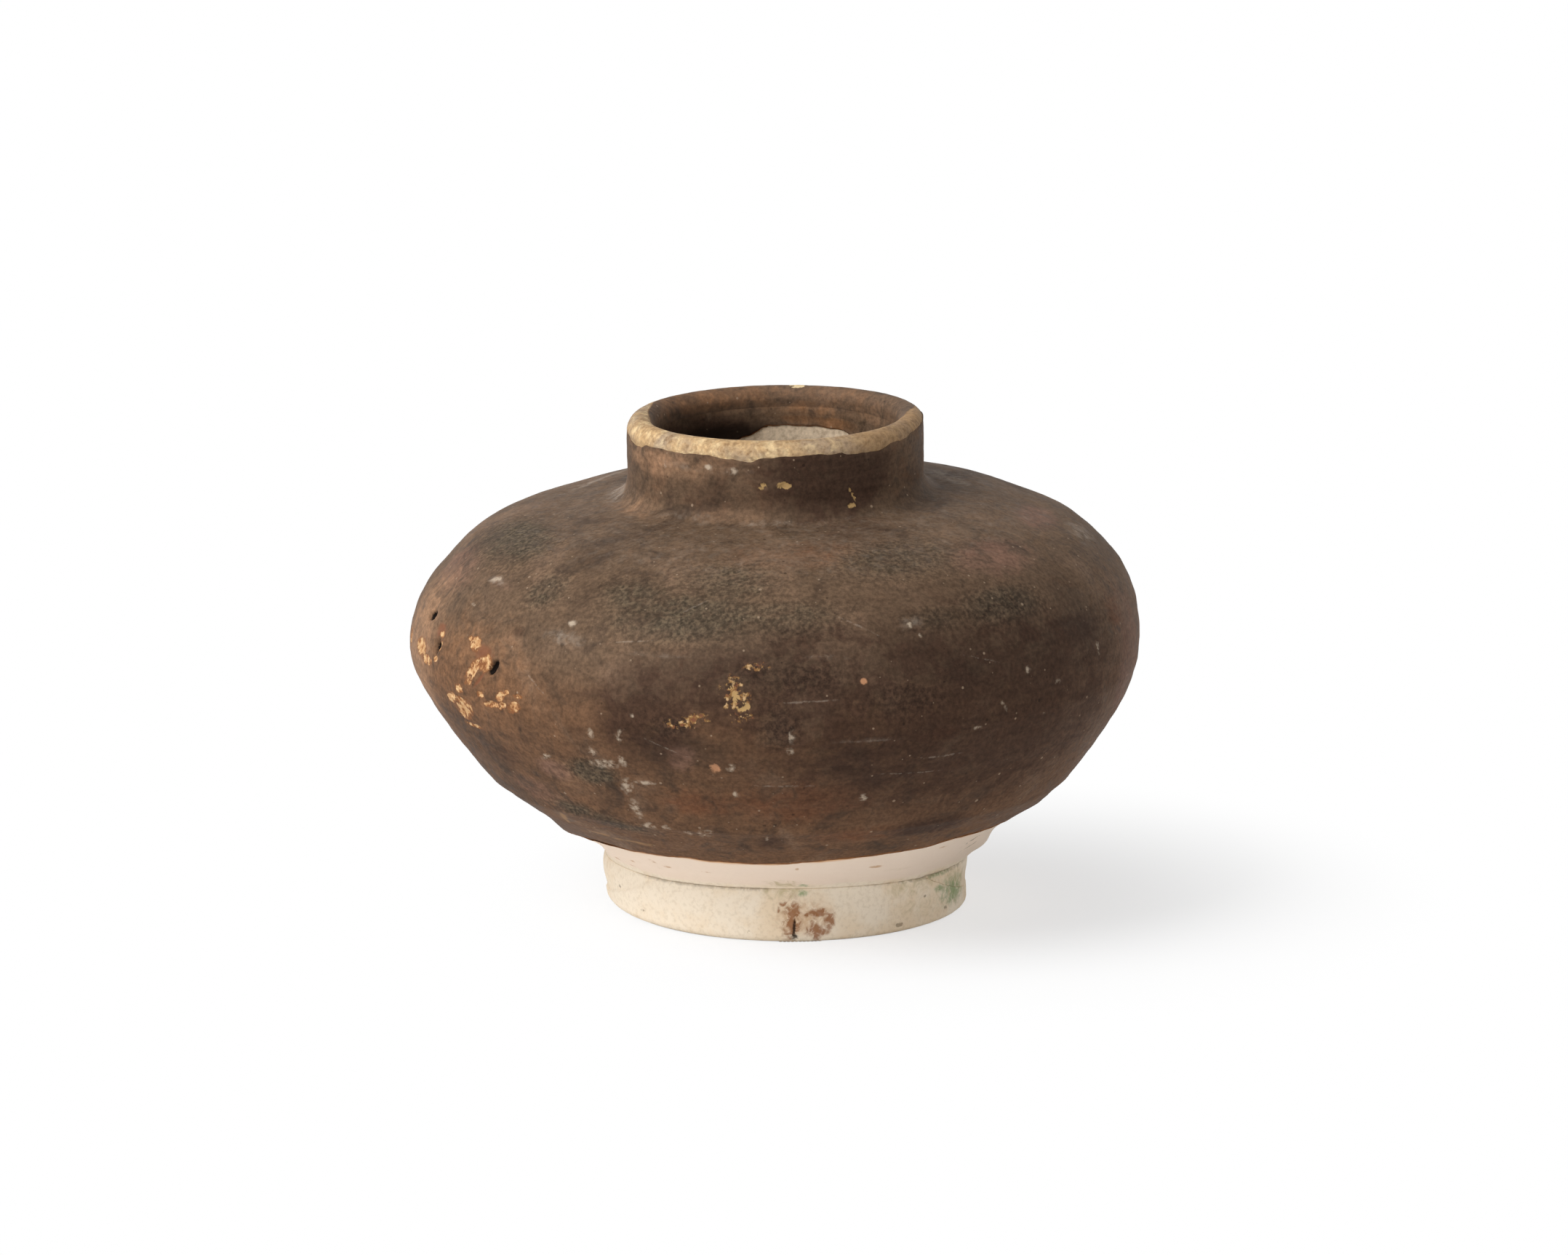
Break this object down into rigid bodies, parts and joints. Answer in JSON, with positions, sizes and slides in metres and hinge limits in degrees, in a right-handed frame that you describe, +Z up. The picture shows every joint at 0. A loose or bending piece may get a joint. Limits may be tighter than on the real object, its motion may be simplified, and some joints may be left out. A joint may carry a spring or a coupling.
{
  "type": "glazed jar",
  "caption": "Squat wide-bellied stoneware jar with a short upright neck, brown glaze over the body and a bare cream foot ring.",
  "frame": {"origin": "on the floor under the middle of the girth, with the foot ring's flat face at Z = 0", "axes": "+Z up through the mouth; the pictured front faces -Y, and the foot sits 1.8 mm towards +X"},
  "size_m": [0.12, 0.12, 0.0823],
  "materials": {
    "foot_clay": "matte",
    "body_clay": "matte",
    "lip_clay": "matte",
    "brown_glaze": "satin"
  },
  "bodies": {
    "root": {"foot_ring": "foot_clay", "lower_bowl": "body_clay", "girth_coil": "body_clay", "upper_bowl": "body_clay", "neck_collar": "lip_clay", "outer_glaze": "brown_glaze", "neck_inner_glaze": "brown_glaze"}
  },
  "joints": []
}
